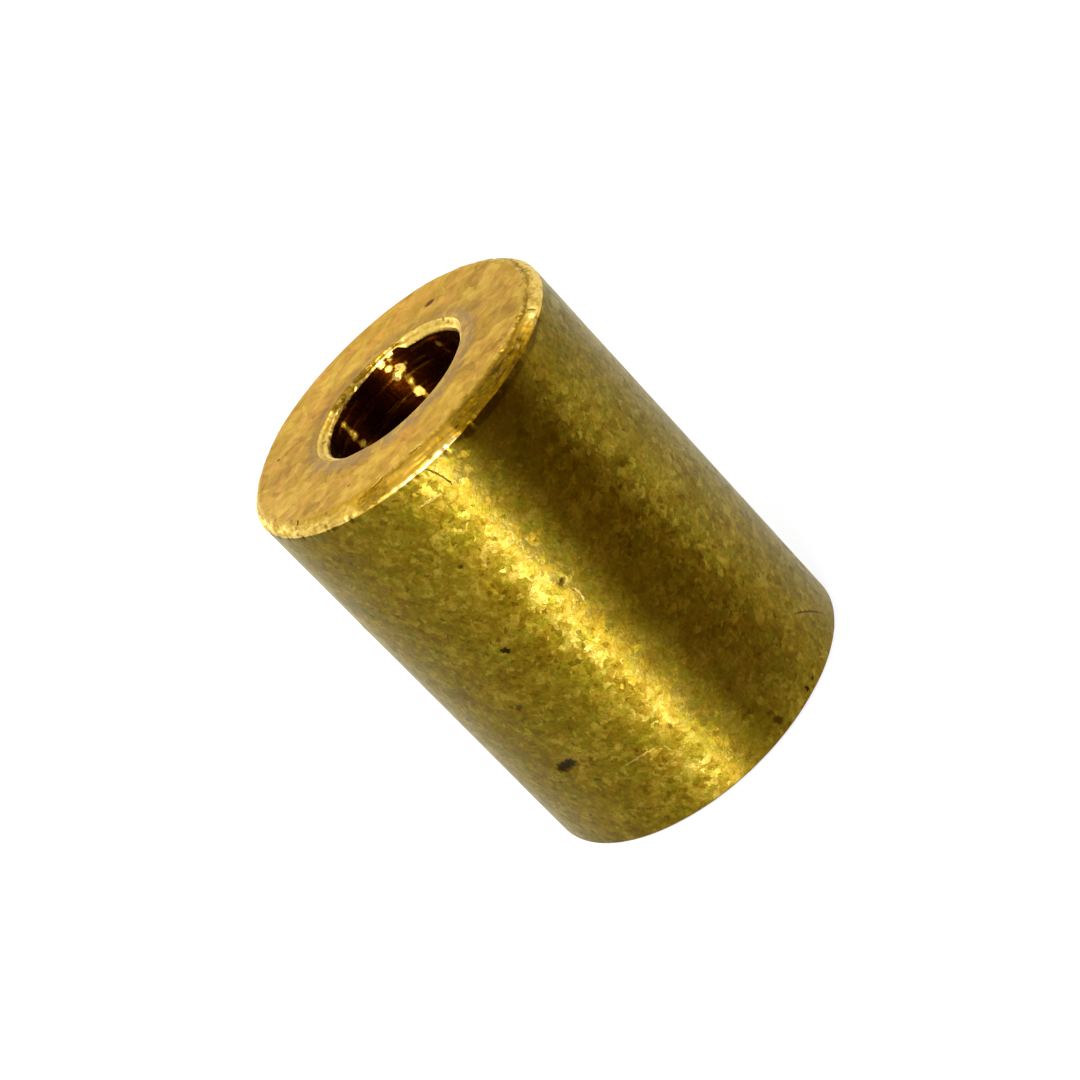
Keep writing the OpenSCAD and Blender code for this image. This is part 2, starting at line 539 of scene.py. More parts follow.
def bore_painted_highlights(turn, depth):
    """Painted highlights on the wall of the bore: faint streaks and bright spots."""
    wear = painted_glints(turn, depth)
    for middle, half_width, strength in BORE_HIGHLIGHT_STREAKS:
        off = math.degrees(apart(turn, middle))
        wander = 3 * wave(0, depth, 1, 4, middle)
        broken = 0.55 + 2.6 * wave(turn, depth, 9, 7, 5.2)
        wear += strength * max(broken, 0) * hump(off, wander, half_width)
    return wear


def wear_and_light_at(shape, row, place, turn):
    """From -1, stained, to 1, rubbed bright. In places it carries painted light instead: painted highlights
    in the bore, on the mouth's lips and at the rim's front corner, painted dark reflections on the rim and
    the mouth's far side, and painted shade under the rim.
    """
    zone, share = row["zone"], row["share"]
    if zone == BORE:
        return bore_painted_highlights(turn, LENGTH - place.y)
    if not row["top"]:
        return -0.3 if zone == MOUTH else 0.0
    if zone == RIM:
        wear = around(turn, RIM_WEAR_AND_LIGHT)
        crest = hump(share, around(turn, CREST_AT), around(turn, CREST_WIDTH))
        face_line = 0.8 * around(turn, RIM_GROOVE) * hump(share, 0.06, 0.08)
        face_line *= 0.7 + wave(turn, share, 16, 4, 5.9)
        corner_line = (0.7 + wave(turn, share, 30, 2, 6.3)) * hump(share, 0.96, 0.07)
        # At the front, the bright crest is painted highlight and the stained stretch is painted dark
        # reflection
        if wear > 0:
            pale = 0.7 + 1.2 * wave(turn, share, 13, 3, 9.1) + 1.3 * wave(turn, share, 36, 7, 4.8)
            return wear * crest * max(pale, 0) + face_line + max(corner_line, 0)
        stain_and_shade = rise(share, 0.12, 0.30) * (0.85 + 0.3 * share + 1.1 * wave(turn, share, 10, 8.0, 6.1))
        return wear * stain_and_shade + face_line + max(corner_line, 0) * rise(turn, 0.0, 0.2)
    if zone == MOUTH:
        # The dark far side of the mouth is painted dark reflection, and the glints added here are painted
        # highlights
        wear = around(turn, LIP_WEAR_AND_DARK_REFLECTION)
        if wear > 0:
            between = hump(share, 0.55, 0.15) * (1 + 1.5 * wave(turn, share, 14, 2, 7.3))
            wear *= 1 - 0.6 * max(between, 0)
        else:
            wear *= 1 + 1.5 * wave(turn, share, 22, 4, 2.2)
        return wear + 1.5 * painted_glints(turn, LENGTH - place.y)
    if zone == RING:
        patches = 1 + 1.0 * wave(turn, share, 7, 1.2, 3.4) + 0.7 * wave(turn, share, 22, 2.5, 5.2)
        return -around(turn, RING_STAIN) * (0.55 + 0.7 * hump(share, 0.8, 0.22)) * max(patches, 0)
    if zone == FACE:
        edge = BARREL_R - shape.rim_width / MM * around(turn, RIM_REACH)
        line = 0.8 * hump(place.x, edge - 0.015, 0.022) * around(turn, RIM_GROOVE)
        patches = 1 + 1.6 * wave(turn, 0, 9, 1, 3.4) + 0.8 * wave(turn, place.x, 24, 6, 5.2)
        return line - 0.5 * around(turn, RING_STAIN) * hump(place.x, 1.36, 0.10) * max(patches, 0)
    # Painted shade: the barrel darkens in a band just under the rim at the front
    near_rim = hump(LENGTH - place.y, 0.2, 0.6)
    return -0.8 * around(turn, BARREL_SHADE) * near_rim if zone == BARREL else 0.0


def stitch(here, there):
    """Faces between two rings of vertices, where one ring may have twice as many as the other."""
    faces = []
    if len(here) == len(there):
        for k in range(len(here)):
            n = (k + 1) % len(here)
            faces.append((here[k], there[k], there[n], here[n]))
        return faces
    few, many = (here, there) if len(here) < len(there) else (there, here)
    for k in range(len(few)):
        n = (k + 1) % len(few)
        a, b, c = many[2 * k], many[2 * k + 1], many[(2 * k + 2) % len(many)]
        three = [(few[k], a, b), (few[k], b, few[n]), (few[n], b, c)]
        faces += three if few is here else [tuple(reversed(face)) for face in three]
    return faces


def turned_mesh(shape):
    """The whole spacer as one closed mesh, with its relief, its wear and painted light, and its way along the
    outline on each vertex.
    """
    rng = random.Random(SEED)
    marks = {"barrel": readied(PITS + scattered_pits(rng, MORE_PITS)), "face": readied(FACE_PITS)}
    marks["rings"] = bore_rings(rng)
    rows = turned_rows(shape)
    switch_r = (BORE_R + BARREL_R) / 2
    verts, loops = [], []
    kept = {"relief": [], "wear": [], "along": []}
    for row in rows:
        count = shape.columns if row["at"].x > switch_r else shape.columns // 2
        loops.append(range(len(verts), len(verts) + count))
        tilt_share = min(max((row["at"].y - LENGTH + TILT_REACH) / TILT_REACH, 0), 1) ** 2
        for k in range(count):
            angle = math.tau * k / count
            turn = math.atan2(-math.cos(angle), -math.sin(angle))
            place = worn_place(shape, row["at"], turn)
            relief = relief_at(shape, row, place, turn, marks)
            # The wear kept on each vertex also carries painted highlights and painted shade
            kept["wear"].append(wear_and_light_at(shape, row, place, turn))
            place = place + row["normal"] * relief
            x, y = place.x * math.cos(angle), place.x * math.sin(angle)
            tilt = (FACE_TILT_X * x + FACE_TILT_Y * y) * tilt_share
            verts.append((x * MM, y * MM, (place.y + tilt) * MM))
            kept["relief"].append(relief / RELIEF_UNIT)
            kept["along"].append(row["along"])
    faces, zones = [], []
    for i, row in enumerate(rows):
        band = stitch(loops[i], loops[(i + 1) % len(rows)])
        faces += band
        zones += [row["zone"]] * len(band)
    mesh = bpy.data.meshes.new("turned_spacer")
    mesh.from_pydata(verts, [], faces)
    mesh.polygons.foreach_set("material_index", zones)
    for name, values in kept.items():
        mesh.attributes.new(name, "FLOAT", "POINT").data.foreach_set("value", values)
    mesh.shade_smooth()
    mesh.update()
    return mesh


# ---- Shader helpers ----

def feed(socket, value):
    """Links a socket, or sets its own value."""
    if isinstance(value, bpy.types.NodeSocket):
        socket.id_data.links.new(value, socket)
    else:
        socket.default_value = (*value, 1.0) if socket.type == "RGBA" else value


def add_node(tree, kind, inputs=None, **settings):
    """A shader node of a kind such as "Math", with its inputs as {name or number: value}."""
    made = tree.nodes.new("ShaderNode" + kind)
    for name, value in settings.items():
        setattr(made, name, value)
    for key, value in (inputs or {}).items():
        feed(made.inputs[key], value)
    return made


def join(kind, inputs, **settings):
    """A shader node in the tree that its inputs come from."""
    tree = next(value.id_data for value in inputs.values() if isinstance(value, bpy.types.NodeSocket))
    return add_node(tree, kind, inputs, **settings).outputs


def maths(operation, *values, clamp=False):
    """The result of an operation on numbers."""
    return join("Math", dict(enumerate(values)), operation=operation, use_clamp=clamp)[0]


def times(*values, clamp=False):
    """Two numbers multiplied, and a third added where there is one."""
    return maths("MULTIPLY" if len(values) == 2 else "MULTIPLY_ADD", *values, clamp=clamp)


def vectors(operation, *values):
    """The result of an operation on vectors. SCALE takes a vector and a number."""
    keys = (0, "Scale") if operation == "SCALE" else (0, 1)
    return join("VectorMath", dict(zip(keys, values)), operation=operation)[0]


def blend_colour(factor, first, second):
    """Goes from the first colour to the second as the factor goes from 0 to 1."""
    return join("Mix", {"Factor": factor, 6: first, 7: second}, data_type="RGBA")[2]


def remap(value, low_in, high_in, low_out=0.0, high_out=1.0, smooth=True):
    """Moves a value from one range to another, and keeps it inside."""
    inputs = {"Value": value, "From Min": low_in, "From Max": high_in, "To Min": low_out, "To Max": high_out}
    return join("MapRange", inputs, interpolation_type="SMOOTHSTEP" if smooth else "LINEAR")[0]


def cloud(place, scale, detail, roughness, swirl=0.0):
    """Soft noise."""
    inputs = {"Vector": place, "Scale": scale, "Detail": detail, "Roughness": roughness, "Distortion": swirl}
    return join("TexNoise", inputs)


def cells(place, feature="F1"):
    """Cells one unit across."""
    return join("TexVoronoi", {"Vector": place, "Scale": 1.0}, feature=feature)


def mesh_value(tree, name):
    """A value that the mesh keeps on each vertex."""
    return add_node(tree, "Attribute", attribute_name=name).outputs["Fac"]


def upright(tree):
    """The surface's own normal."""
    return add_node(tree, "NewGeometry").outputs["Normal"]


def millimetres(tree):
    """The point on the piece, in millimetres."""
    return vectors("SCALE", add_node(tree, "TexCoord").outputs["Object"], 1 / MM)


def in_units(size):
    """The point on the piece, in units of a size in millimetres."""
    return vectors("SCALE", millimetres(size.id_data), maths("DIVIDE", 1, size))


def shifted(given):
    """The point in units of a group's Size, moved by its Shift so that no two sets of patches line up."""
    shift = join("CombineXYZ", {0: given["Shift"], 2: given["Shift"]})[0]
    return vectors("ADD", in_units(given["Size"]), shift)


def push(colour, amount):
    """A random colour as a step to any side, times an amount."""
    return vectors("SCALE", vectors("SUBTRACT", colour, (0.5, 0.5, 0.5)), amount)


def new_group(name, inputs, outputs, normals=()):
    """An empty node group with inputs as {name: default}, and the sockets at its two ends."""
    group = bpy.data.node_groups.new(name, "ShaderNodeTree")
    for socket_name, default in inputs.items():
        socket = group.interface.new_socket(socket_name, in_out="INPUT", socket_type="NodeSocketFloat")
        socket.default_value = default
    for socket_name in (*outputs, *normals):
        kind = "NodeSocketVector" if socket_name in normals else "NodeSocketFloat"
        group.interface.new_socket(socket_name, in_out="OUTPUT", socket_type=kind)
    start = group.nodes.new("NodeGroupInput")
    end = group.nodes.new("NodeGroupOutput")
    return group, start.outputs, end.inputs


def place_group(tree, name, **values):
    """A shared effect with values of its own."""
    return add_node(tree, "Group", values, node_tree=bpy.data.node_groups[name]).outputs


# ---- Shared effects ----

def make_mottle():
    """Swirling blotches of a given size in millimetres."""
    inputs = {"Size": 0.1, "Swirl": 1.0, "Contrast": 1.0, "Shift": 0.0}
    tree, given, out = new_group("Mottle", inputs, ["Mask"])
    blotch = cloud(shifted(given), 1.0, 2.5, 0.55, given["Swirl"])["Fac"]
    swing = times(maths("SUBTRACT", blotch, 0.5), given["Contrast"])
    feed(out["Mask"], maths("ADD", swing, 0.5, clamp=True))


def make_lathe_lines():
    """Fine lines that run round the piece, at a given spacing in millimetres."""
    tree, given, out = new_group("Lathe lines", {"Spacing": 0.03, "Waver": 1.0}, ["Height"])
    here = join("SeparateXYZ", {0: millimetres(tree)})
    place = {axis: times(here[axis], given["Waver"]) for axis in (0, 1)}
    place[2] = maths("DIVIDE", mesh_value(tree, "along"), given["Spacing"])
    line = cloud(join("CombineXYZ", place)[0], 1.0, 2.0, 0.6)["Fac"]
    feed(out["Height"], maths("SUBTRACT", line, 0.5))


def make_specks():
    """Small pinholes, scattered at a given spacing in millimetres."""
    tree, given, out = new_group("Specks", {"Spacing": 0.3, "Radius": 0.1, "Share": 0.5}, ["Mask"])
    cell = cells(in_units(given["Spacing"]))
    chance = join("SeparateColor", {0: cell["Color"]})[0]
    chosen = maths("LESS_THAN", chance, given["Share"])
    edge = times(given["Radius"], 0.5)
    dot = remap(cell["Distance"], edge, given["Radius"], 1.0, 0.0)
    feed(out["Mask"], times(dot, chosen))


def make_mark():
    """One ragged mark: a scratch where it is long and thin, and a pit where it is short and wide."""
    inputs = {
        "Turn": 0.0, "Height": 3.0, "Length": 0.5, "Slant": 0.0, "Width": 0.02, "Bow": 0.0, "Ragged": 0.02,
        "Faced": 0.0,
    }
    tree, given, out = new_group("Mark", inputs, ["Mask"])
    point = millimetres(tree)
    here = join("SeparateXYZ", {0: point})
    back = [times(here[axis], -1) for axis in (0, 1)]
    squares = times(here[0], here[0], times(here[1], here[1]))
    radius = maths("SQRT", squares)
    turn = maths("SUBTRACT", maths("ARCTAN2", *back), given["Turn"])
    height = times(given["Faced"], maths("SUBTRACT", radius, here[2]), here[2])
    wobble = push(cloud(point, 22.0, 1.5, 0.6)["Color"], given["Ragged"])
    wobble = join("SeparateXYZ", {0: wobble})
    level = times(turn, radius, wobble[0])
    up = maths("ADD", maths("SUBTRACT", height, given["Height"]), wobble[1])
    cosine = maths("COSINE", given["Slant"])
    sine = maths("SINE", given["Slant"])
    along = maths("ADD", times(level, cosine), times(up, sine))
    aside = maths("SUBTRACT", times(up, cosine), times(level, sine))
    share = times(maths("DIVIDE", along, given["Length"]), 2)
    square = times(share, share)
    off = times(square, given["Bow"], aside)
    off = maths("DIVIDE", off, given["Width"])
    reach = maths("SQRT", times(off, off, square))
    feed(out["Mask"], times(maths("SUBTRACT", 1, reach), 2.5, clamp=True))


def make_flakes():
    """Ragged flakes of a given size in millimetres: a tint and a leaning normal for each, and the cracks."""
    inputs = {"Size": 0.1, "Ragged": 0.8, "Shift": 0.0, "Lean": 0.0}
    tree, given, out = new_group("Flakes", inputs, ["Tint", "Crack"], ["Normal"])
    place = shifted(given)
    place = vectors("ADD", place, push(cloud(place, 0.9, 1.2, 0.55)["Color"], given["Ragged"]))
    cell = cells(place)["Color"]
    chance = join("SeparateColor", {0: cell})
    feed(out["Tint"], chance[0])
    feed(out["Crack"], remap(cells(place, "DISTANCE_TO_EDGE")["Distance"], 0.0, 0.12, 1.0, 0.0))
    # A few flakes are loose and lean much further than the rest
    loose = times(maths("POWER", chance[2], 3.0), 1.8, 0.6)
    lean = push(cell, times(given["Lean"], loose))
    feed(out["Normal"], vectors("NORMALIZE", vectors("ADD", upright(tree), lean)))


def make_wear_and_light():
    """Crests, dips, rubbed edges and stains, from the relief and the wear kept on the mesh. The bright end of
    the wear also carries painted highlights, and its dark end painted shade and painted dark reflections.
    """
    tree, given, out = new_group("Wear and light", {"Proud": 0.8, "Deep": -0.8}, ["Crest", "Dip", "Rubbed", "Stain and shade"])
    relief = mesh_value(tree, "relief")
    ragged = maths("ADD", mottle(tree, 0.12, 1.5, 3.0, 1.0), 0.5)
    wear = times(mesh_value(tree, "wear"), ragged)
    feed(out["Crest"], maths("DIVIDE", relief, given["Proud"], clamp=True))
    feed(out["Dip"], maths("DIVIDE", relief, given["Deep"], clamp=True))
    feed(out["Rubbed"], times(wear, 1, clamp=True))
    feed(out["Stain and shade"], times(wear, -1, clamp=True))


def mottle(tree, size, swirl, contrast, shift):
    """A mask of blotches."""
    return place_group(tree, "Mottle", Size=size, Swirl=swirl, Contrast=contrast, Shift=shift)["Mask"]


def flakes(tree, size, ragged, shift, lean):
    """A layer of flakes, as its Tint, Crack and Normal."""
    return place_group(tree, "Flakes", Size=size, Ragged=ragged, Shift=shift, Lean=lean)


def lathe_lines(tree, spacing, waver):
    """The height of fine lines round the piece."""
    return place_group(tree, "Lathe lines", Spacing=spacing, Waver=waver)["Height"]


def specks(tree, spacing, radius, share):
    """A mask of pinholes."""
    return place_group(tree, "Specks", Spacing=spacing, Radius=radius, Share=share)["Mask"]


# ---- Materials ----

# Turned metal spreads its gloss across the tool marks, which run round the axis
ACROSS_THE_MARKS = 0.25
EDGE_TINT = (1.0, 0.98, 0.80)

# How much each layer of patches counts in the tint
LARGE_SHARE = 0.40
SMALL_SHARE = 0.24
BLUR_SHARE = 0.36
COARSE_SHARE = 0.40


def new_material(name, values):
    """A material with its shader's sockets set."""
    material = bpy.data.materials.new(name)
    material.use_nodes = True
    return paint(material, values)


def paint(material, values):
    """Sets or links sockets of a material's shader."""
    for name, value in values.items():
        feed(material.node_tree.nodes["Principled BSDF"].inputs[name], value)
    return material


def turned_brass(name, anisotropy):
    """Bare metal with its grain set round the axis, and its tree."""
    material = new_material(name, {
        "Metallic": 1.0,
        "Anisotropic": anisotropy,
        "Anisotropic Rotation": ACROSS_THE_MARKS,
        "Specular Tint": EDGE_TINT,
    })
    tree = material.node_tree
    tangent = add_node(tree, "Tangent", direction_type="RADIAL", axis="Z").outputs[0]
    return paint(material, {"Tangent": tangent}), tree


def dress(material, colour, roughness, heights, normal):
    """Gives metal its colour and roughness, and bumps by {value: millimetres} on top of a leaning normal."""
    total = 0.0
    for value, size in heights.items():
        total = times(value, size * MM, total)
    bump = join("Bump", {"Height": total, "Distance": 1.0, "Strength": 1.0, "Normal": normal})[0]
    return paint(material, {"Base Color": colour, "Roughness": roughness, "Normal": bump})


def layered(colour, layers):
    """Lays colours over a first one, each given as (mask, colour) or (mask, colour, the most it covers)."""
    for mask, over, *most in layers:
        colour = blend_colour(times(mask, *most) if most else mask, colour, over)
    return colour


def patchwork(large, small, blur, coarse):
    """Mixes tints of several sizes into one, from dark (0) to light (1)."""
    tint = times(large["Tint"], LARGE_SHARE)
    tint = times(small["Tint"], SMALL_SHARE, tint)
    tint = times(blur, BLUR_SHARE, tint)
    return times(maths("SUBTRACT", 0.5, coarse), COARSE_SHARE, tint)


def both_leans(large, small):
    """The normal that leans with a large flake and with the small one on it."""
    return vectors("NORMALIZE", vectors("ADD", large["Normal"], small["Normal"]))


def marks_mask(tree, marks, ragged, faced=0.0):
    """Where any of a list of marks lies. Faced (1) reads their heights as radii on the faced end."""
    mask = 0.0
    for turn, height, length, slant, width, bow in marks:
        mark = place_group(
            tree, "Mark", Turn=math.radians(turn), Height=height, Length=length, Slant=math.radians(slant),
            Width=width, Bow=bow, Ragged=ragged, Faced=faced,
        )["Mask"]
        mask = maths("MAXIMUM", mark, mask)
    return mask


def pit_marks(pits):
    """Pits as marks."""
    return [(turn, at, length, slant, width / 2, 0) for turn, at, length, width, slant, depth in pits]


def barrel_material(finish):
    """Tarnished brass in ragged flakes, with pinholes and a few scratches, painted shade in its hollows and a
    band of painted shade under the front of the rim.
    """
    material, tree = turned_brass("Turned barrel", 0.90)
    large = flakes(tree, 0.13, 1.9, 3.0, 0.125)
    small = flakes(tree, 0.066, 1.8, 6.0, 0.10)
    tint = patchwork(large, small, mottle(tree, 0.13, 1.8, 3.0, 2.0), mottle(tree, 0.55, 0.8, 2.4, 4.0))
    green = mottle(tree, 0.30, 1.4, 2.6, 8.0)
    grain = mottle(tree, 0.06, 1.2, 2.0, 9.0)
    lines = lathe_lines(tree, 0.028, 0.8)
    holes = specks(tree, 0.34, 0.12, 0.3)
    wear = place_group(tree, "Wear and light", Proud=0.5, Deep=-0.9)
    broken = remap(mottle(tree, 0.16, 1.0, 4.0, 11.0), 0.45, 0.75)
    cracks = times(large["Crack"], broken)
    dark = marks_mask(tree, SCRATCHES, 0.03)
    light = marks_mask(tree, RAISED_LINES, 0.05)
    shallow = marks_mask(tree, pit_marks([pit for pit in PITS if pit[5] < DEEP_PIT]), 0.10)
    deep = marks_mask(tree, pit_marks([pit for pit in PITS if pit[5] >= DEEP_PIT]), 0.13)
    colour = layered(finish.barrel, [
        (remap(green, 0.35, 0.80), finish.barrel_green),
        (remap(tint, 0.48, 0.05, 0, 0.95, smooth=False), finish.barrel_stain_and_shade),
        (remap(tint, 0.52, 0.95, 0, 0.74, smooth=False), finish.barrel_light),
        (remap(small["Tint"], 0.05, 0.01, 0, 0.45), finish.grime_and_shade),
        (remap(small["Tint"], 0.94, 0.98, 0, 0.5), finish.barrel_light),
        (cracks, finish.barrel_stain_and_shade, 0.5),
        # Painted shade: the band just under the rim at the front
        (wear["Stain and shade"], finish.barrel_stain_and_shade),
        (holes, finish.grime_and_shade, 0.5),
        (dark, finish.grime_and_shade, 0.9),
        (light, finish.edge, 0.22),
        # Dirt and painted shade in the hollows
        (remap(wear["Dip"], 0.35, 1.0, 0, 0.7), finish.grime_and_shade),
        (shallow, finish.grime_and_shade, 0.8),
        (deep, finish.soot),
    ])
    roughness = remap(tint, 0, 1, 0.41, 0.37, smooth=False)
    heights = {grain: 0.0010, lines: 0.0006, holes: -0.001, dark: -0.006, light: 0.0015}
    return dress(material, colour, roughness, heights, both_leans(large, small))


def face_material(finish, name, roughness):
    """Dull orange-tan metal in faint flakes, rubbed or stained towards its edges."""
    material, tree = turned_brass(name, 0.3)
    large = flakes(tree, 0.30, 1.3, 2.0, 0.09)
    small = flakes(tree, 0.16, 1.2, 5.0, 0.06)
    tint = patchwork(large, small, mottle(tree, 0.24, 1.2, 3.4, 2.0), mottle(tree, 0.5, 0.8, 1.2, 7.0))
    warm = mottle(tree, 0.38, 1.4, 3.2, 3.0)
    grain = mottle(tree, 0.06, 1.0, 2.0, 5.0)
    lines = lathe_lines(tree, 0.03, 0.8)
    holes = specks(tree, 0.45, 0.10, 0.3)
    wear = place_group(tree, "Wear and light", Proud=0.5, Deep=-0.9)
    pits = marks_mask(tree, pit_marks(FACE_PITS), 0.04, faced=1.0)
    colour = layered(finish.face, [
        (remap(warm, 0.4, 0.9), finish.face_warm),
        (remap(tint, 0.48, 0.05, smooth=False), finish.face_dark),
        (remap(tint, 0.52, 0.95, smooth=False), finish.face_light),
        (wear["Stain and shade"], finish.ring),
        (wear["Rubbed"], finish.edge),
        (holes, finish.barrel_stain_and_shade, 0.5),
        (pits, finish.grime_and_shade, 0.85),
    ])
    gloss = remap(tint, 0, 1, roughness + 0.05, roughness - 0.08)
    heights = {grain: 0.0009, lines: 0.0005, holes: -0.003, pits: -0.005}
    return dress(material, colour, gloss, heights, both_leans(large, small))


def edge_material(finish, name, roughness):
    """Worn brass edges: bright where they are rubbed, with dirt in their hollows. The bright colours also
    paint the highlights on the rim's front corner and the mouth's lips, and the dark ones paint shade in the
    hollows and dark reflections on the rim and the mouth's far side.
    """
    material, tree = turned_brass(name, 0.3)
    large = flakes(tree, 0.12, 1.6, 4.0, 0.30)
    small = flakes(tree, 0.06, 1.4, 7.0, 0.20)
    grain = mottle(tree, 0.06, 1.0, 2.0, 3.0)
    wear = place_group(tree, "Wear and light", Proud=1.6, Deep=-1.6)
    lines = remap(lathe_lines(tree, 0.10, 3.0), 0.01, 0.07)
    streaks = times(lines, remap(wear["Stain and shade"], 0.1, 0.6))
    creases = marks_mask(tree, FACE_CREASES, 0.03, faced=1.0)
    pits = marks_mask(tree, pit_marks(FACE_PITS), 0.05, faced=1.0)
    marks = maths("MAXIMUM", creases, pits)
    colour = layered(finish.rim, [
        (large["Tint"], finish.face),
        (remap(small["Tint"], 0.4, 0.0, 0, 0.4, smooth=False), finish.face_dark),
        # Painted dark reflection: the stained stretches on the rim and the mouth's far side
        (remap(wear["Stain and shade"], 0.0, 0.5), finish.rim_stain_and_shade),
        (remap(wear["Stain and shade"], 0.6, 1.0, 0, 0.8), finish.barrel_stain_and_shade),
        (streaks, finish.grime_and_shade, 0.8),
        (wear["Crest"], finish.edge, 0.3),
        # Painted highlight: the bright line at the rim's front corner and the glints on the lips
        (wear["Rubbed"], finish.edge),
        # Painted shade in the hollows, with dirt
        (wear["Dip"], finish.rim_stain_and_shade, 0.7),
        (specks(tree, 0.14, 0.34, 0.5), finish.rim_stain_and_shade, 0.75),
        (marks, finish.barrel_stain_and_shade, 0.8),
    ])
    gloss = remap(wear["Rubbed"], 0, 1, roughness + 0.12, roughness - 0.04)
    heights = {grain: 0.0014, marks: -0.006, streaks: -0.005}
    return dress(material, colour, gloss, heights, both_leans(large, small))


def bore_material(finish):
    """Smooth dark brass with faint rings that the drill left, and bright streaks and spots of painted
    highlight, which are also rougher and lean.
    """
    material, tree = turned_brass("Drilled bore", 0.9)
    lines = lathe_lines(tree, 0.06, 0.5)
    fine = mottle(tree, 0.12, 1.0, 2.0, 6.0)
    torn = flakes(tree, 0.09, 1.4, 1.0, 0.55)["Normal"]
    wear = place_group(tree, "Wear and light", Proud=0.8, Deep=-1.2)
    # In the bore the rubbed mask holds only painted highlights: the bright streaks and spots down the wall
    rubbed = wear["Rubbed"]
    colour = layered(finish.bore, [
        (wear["Dip"], finish.rim_stain_and_shade, 0.4),
        (remap(rubbed, 0.0, 0.45), finish.rim),
        (remap(rubbed, 0.5, 1.0), finish.bore_highlight),
    ])
    polish = remap(fine, 0, 1, 0.20, 0.30, smooth=False)
    roughness = times(rubbed, 0.34, polish)
    leaning = blend_colour(rubbed, upright(tree), torn)
    return dress(material, colour, roughness, {lines: 0.004, fine: 0.002}, leaning)


def cut_face_material(finish):
    """The parted-off end, with coarser lines."""
    material, tree = turned_brass("Parted end", 0.5)
    lines = lathe_lines(tree, 0.05, 0.6)
    large = flakes(tree, 0.14, 1.6, 1.0, 0.06)
    fine = mottle(tree, 0.16, 1.2, 2.2, 8.0)
    colour = layered(finish.face, [
        (remap(fine, 0.3, 0.9, 0, 0.6), finish.barrel_light),
        (remap(large["Tint"], 0.5, 0.0, 0, 0.5), finish.face_dark),
    ])
    roughness = remap(fine, 0, 1, 0.55, 0.42, smooth=False)
    return dress(material, colour, roughness, {lines: 0.005, fine: 0.002}, large["Normal"])


def spacer_materials(finish):
    """One material for each zone, in the zones' order."""
    for make in (make_mottle, make_lathe_lines, make_specks, make_mark, make_flakes, make_wear_and_light):
        make()
    return [
        bore_material(finish),
        edge_material(finish, "Bore mouth", 0.36),
        face_material(finish, "Burnished ring", 0.5),
        face_material(finish, "Faced end", 0.6),
        edge_material(finish, "Turned rim", 0.40),
        barrel_material(finish),
        cut_face_material(finish),
    ]


class SPACER_OT_turn(bpy.types.Operator):
    """Turn the spacer and dress it as worn brass"""

    bl_idname = "spacer.turn"
    bl_label = "Turned spacer"

    def execute(self, context):
        mesh = turned_mesh(context.scene.spacer_shape)
        for material in spacer_materials(context.scene.spacer_finish):
            mesh.materials.append(material)
        piece = bpy.data.objects.new("turned_spacer", mesh)
        context.scene.collection.objects.link(piece)
        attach(piece, "root")
        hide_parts(NODE)
        return {"FINISHED"}


# ---- The stage ----

CAMERA_AIM = Vector((0.05, 0, 3.37)) * MM
CAMERA_DISTANCE = 45.42 * MM
CAMERA_ELEVATION = math.radians(24.81)
CAMERA_ROLL = math.radians(43.64)
CAMERA_LENS = 115.93
SENSOR_WIDTH = 36

FLOOR_HALF = 0.4
FLOOR_DROP = 0.002 * MM
PALE = (0.9, 0.9, 0.9)
FLOOR_WHITE = 0.75

WHITE = (1.0, 1.0, 1.0)
SKY_BLUE = (0.365, 0.39, 1.0)
LAMP_DISTANCE = 0.1

# Lamps: (name, turn, elevation, width, height, watts, colour), with their sizes in metres
LAMPS = [
    ("Key", 12.5, 10, 0.018, 0.05, 0.342, SKY_BLUE),
    ("Bore light", 31, 45, 0.012, 0.03, 0.105, WHITE),
    ("Side light", -86, 38, 0.03, 0.03, 0.032, WHITE),
    ("Back light", 158, 12, 0.08, 0.08, 0.02, WHITE),
]

# The dark card: the turns that it runs between, and its sizes in metres
CARD_FROM = -12
CARD_TO = -66
CARD_FOOT = 0.0033
CARD_WALL = 0.012
CARD_TOP = 0.05
CARD_COLUMNS = 24
CARD_BROWN = (0.22, 0.16, 0.04)


def direction(turn, elevation):
    """From the spacer outwards: turn in degrees from the front towards -X, and elevation."""
    turn, elevation = math.radians(turn), math.radians(elevation)
    level = math.cos(elevation)
    return Vector((-math.sin(turn) * level, -math.cos(turn) * level, math.sin(elevation)))


def sees_white(tree):
    """1 for the rays that show the white background: camera, glossy and transmission rays."""
    path = add_node(tree, "LightPath").outputs
    two = maths("ADD", path["Is Camera Ray"], path["Is Glossy Ray"])
    return maths("ADD", two, path["Is Transmission Ray"], clamp=True)


def stage_object(context, name, data):
    """A new object in the scene."""
    made = bpy.data.objects.new(name, data)
    context.scene.collection.objects.link(made)
    return made


def add_floor(context):
    """A pale floor. Most of what the camera sees of it is plain white, and the rest keeps the shadow."""
    mesh = bpy.data.meshes.new("floor")
    corners = [(-1, -1), (1, -1), (1, 1), (-1, 1)]
    mesh.from_pydata([(x * FLOOR_HALF, y * FLOOR_HALF, -FLOOR_DROP) for x, y in corners], [], [(0, 1, 2, 3)])
    floor = stage_object(context, "floor", mesh)
    material = new_material("Pale floor", {"Base Color": PALE, "Roughness": 0.9})
    tree = material.node_tree
    paper = tree.nodes["Principled BSDF"].outputs[0]
    white = add_node(tree, "Emission", {"Strength": 1.0}).outputs[0]
    share = times(sees_white(tree), FLOOR_WHITE)
    mix = join("MixShader", {0: share, 1: paper, 2: white})[0]
    feed(tree.nodes["Material Output"].inputs["Surface"], mix)
    mesh.materials.append(material)


